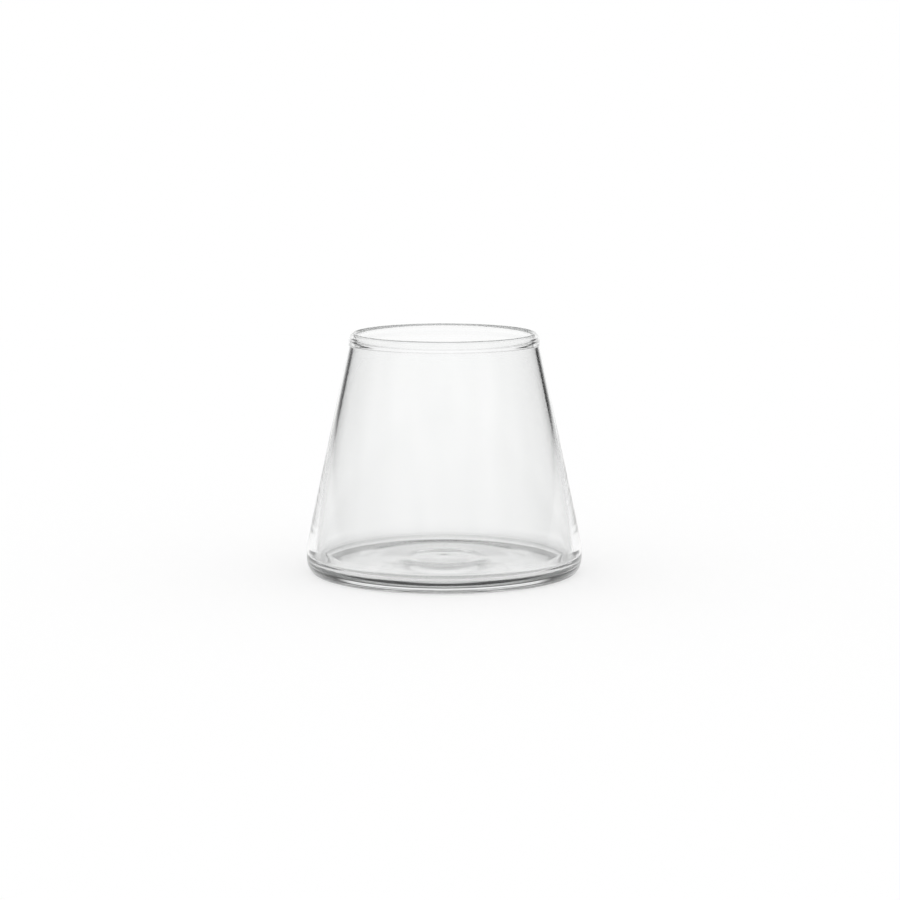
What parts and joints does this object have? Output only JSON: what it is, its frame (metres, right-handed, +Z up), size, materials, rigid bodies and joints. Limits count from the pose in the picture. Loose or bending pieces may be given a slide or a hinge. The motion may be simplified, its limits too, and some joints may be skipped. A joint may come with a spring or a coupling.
{
  "type": "drinking glass",
  "caption": "Clear tapered glass tumbler, wide thick base with a rounded heel, narrower mouth with a fire-polished bead, for drinks",
  "frame": {"origin": "middle of the foot ring, on the surface that the glass stands on", "axes": "+Z up along the axis of the glass; the glass is round, so X and Y are any two level directions, with the picture taken looking along +Y"},
  "size_m": [0.0892, 0.0892, 0.0777],
  "materials": {
    "glass": "clear, smooth, fire-polished"
  },
  "bodies": {
    "root": {"base": "glass", "wall": "glass", "rim": "glass"}
  },
  "joints": []
}
